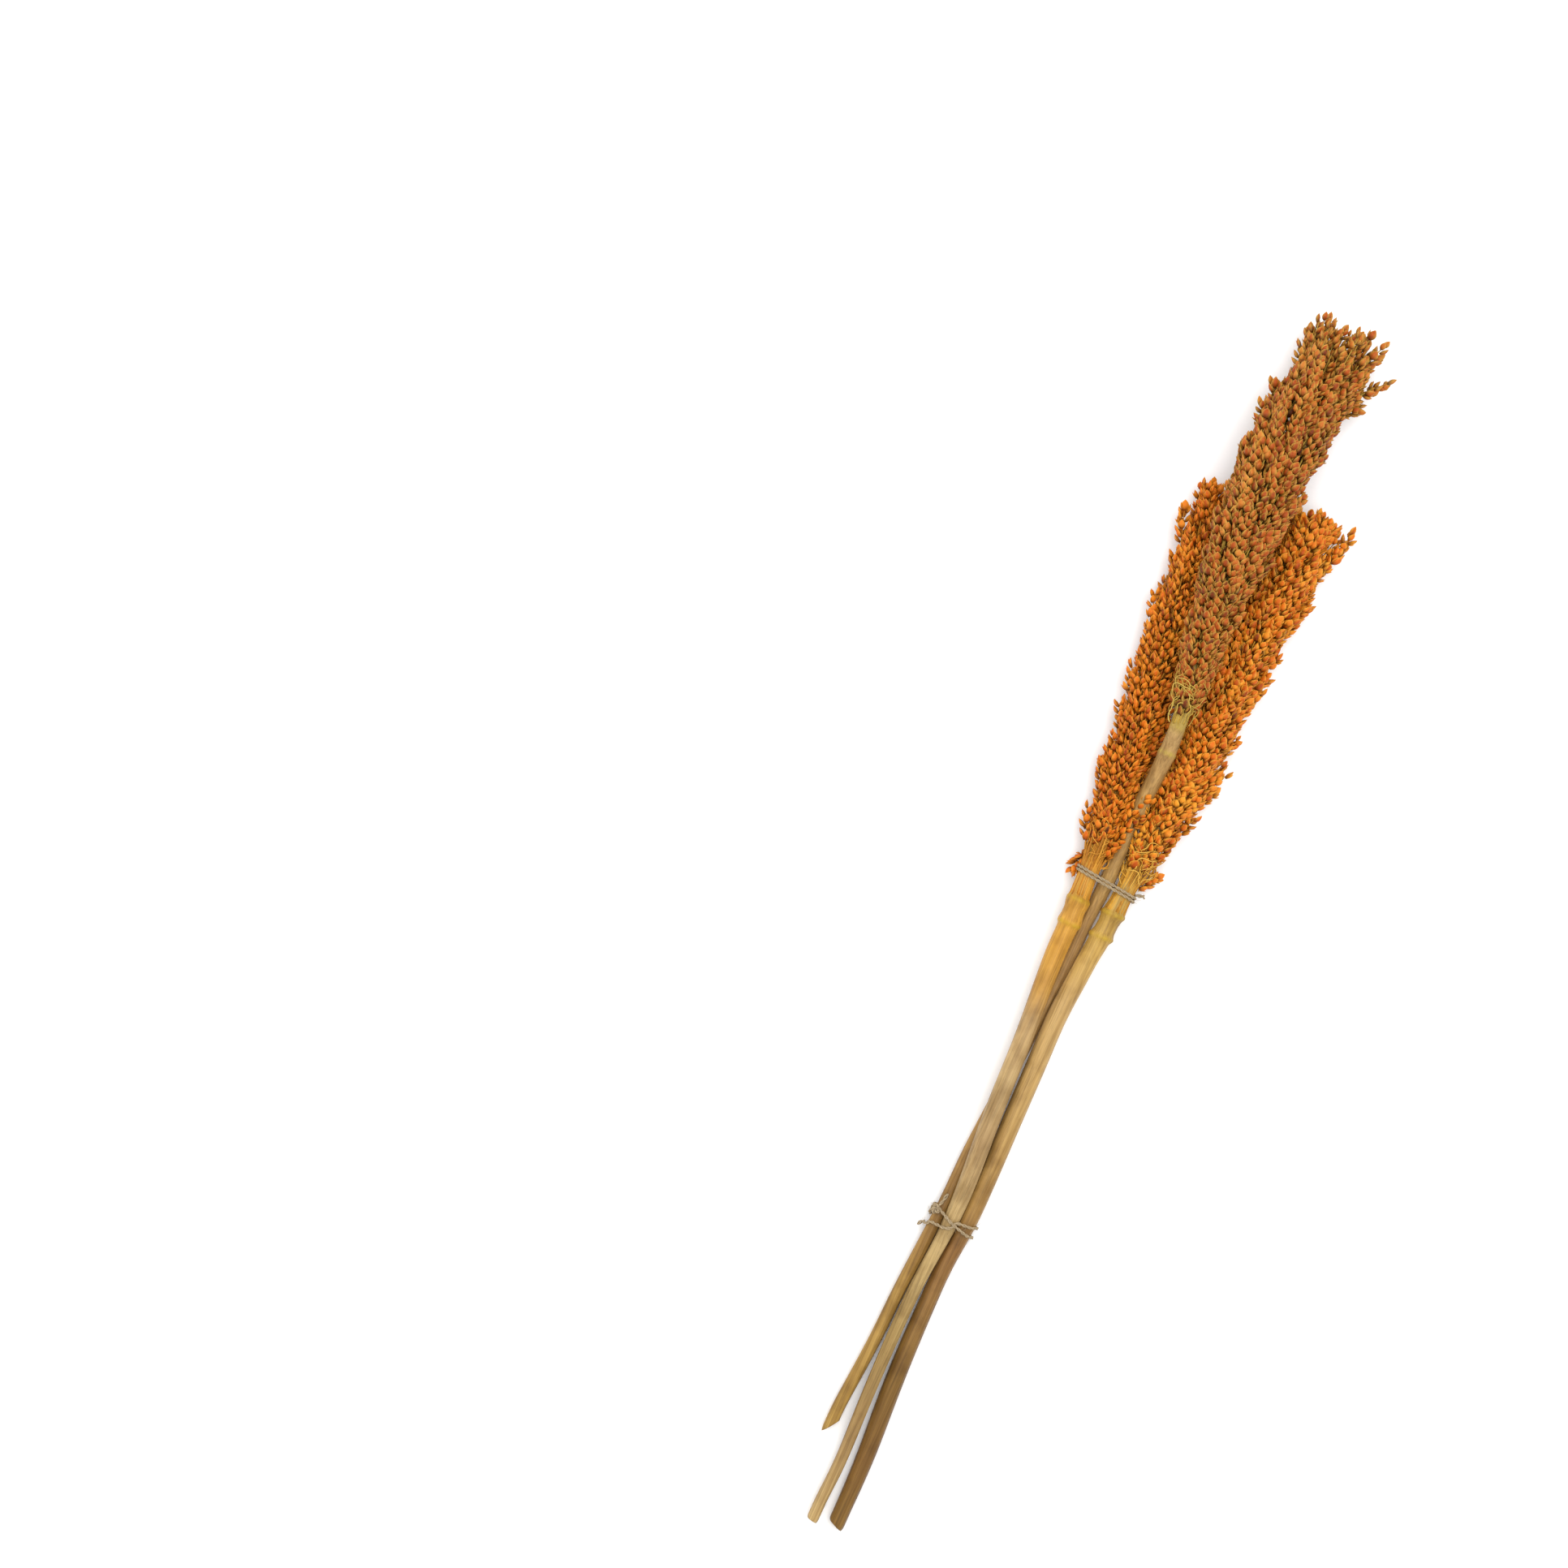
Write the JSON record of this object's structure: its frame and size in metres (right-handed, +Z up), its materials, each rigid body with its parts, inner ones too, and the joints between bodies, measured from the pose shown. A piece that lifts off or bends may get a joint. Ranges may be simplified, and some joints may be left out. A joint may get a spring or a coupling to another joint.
{
  "type": "bundle of dried grass",
  "caption": "Tied bundle of dried grain-grass (sorghum) heads on long cut stems, bound with twine near the heads and lower down, lying flat for decoration.",
  "frame": {"origin": "under the middle of the bundle's outer box, on the surface it lies on", "axes": "+Y along the bundle from the cut ends to the seed heads, +X to the right seen from above, +Z up from the surface"},
  "size_m": [0.0712, 0.6472, 0.0525],
  "materials": {
    "left_stem": "dry straw, light tan, orange-yellow near the head, satin",
    "middle_stem": "dry straw, grey brown, ridged, satin",
    "right_stem": "dry straw, tan, darker brown towards the cut end, satin",
    "left_head": "dry seed husks, red brown with yellow edges, low gloss",
    "middle_head": "dry seed husks, dark red brown with yellow-green tips, low gloss",
    "right_head": "dry seed husks, golden brown, low gloss",
    "twine": "two-ply natural fibre twine, grey tan, matt and hairy"
  },
  "bodies": {
    "root": {"left_head_branch_01": "left_head", "left_head_branch_02": "left_head", "left_head_branch_03": "left_head", "left_head_branch_04": "left_head", "left_head_branch_05": "left_head", "left_head_branch_06": "left_head", "left_head_branch_07": "left_head", "left_head_branch_08": "left_head", "left_head_branch_09": "left_head", "left_head_branch_10": "left_head", "left_head_branch_11": "left_head", "left_head_branch_12": "left_head", "left_head_branch_13": "left_head", "left_head_branch_14": "left_head", "left_head_branch_15": "left_head", "left_head_branch_16": "left_head", "left_stem": "left_stem", "lower_tie": "twine", "middle_head_branch_01": "middle_head", "middle_head_branch_02": "middle_head", "middle_head_branch_03": "middle_head", "middle_head_branch_04": "middle_head", "middle_head_branch_05": "middle_head", "middle_head_branch_06": "middle_head", "middle_head_branch_07": "middle_head", "middle_head_branch_08": "middle_head", "middle_head_branch_09": "middle_head", "middle_head_branch_10": "middle_head", "middle_head_branch_11": "middle_head", "middle_head_branch_12": "middle_head", "middle_head_branch_13": "middle_head", "middle_head_branch_14": "middle_head", "middle_head_branch_15": "middle_head", "middle_head_branch_16": "middle_head", "middle_head_branch_17": "middle_head", "middle_head_branch_18": "middle_head", "middle_head_branch_19": "middle_head", "middle_head_branch_20": "middle_head", "middle_stem": "middle_stem", "right_head_branch_01": "right_head", "right_head_branch_02": "right_head", "right_head_branch_03": "right_head", "right_head_branch_04": "right_head", "right_head_branch_05": "right_head", "right_head_branch_06": "right_head", "right_head_branch_07": "right_head", "right_head_branch_08": "right_head", "right_head_branch_09": "right_head", "right_head_branch_10": "right_head", "right_head_branch_11": "right_head", "right_head_branch_12": "right_head", "right_head_branch_13": "right_head", "right_head_branch_14": "right_head", "right_head_branch_15": "right_head", "right_head_branch_16": "right_head", "right_stem": "right_stem", "upper_tie": "twine"}
  },
  "joints": []
}
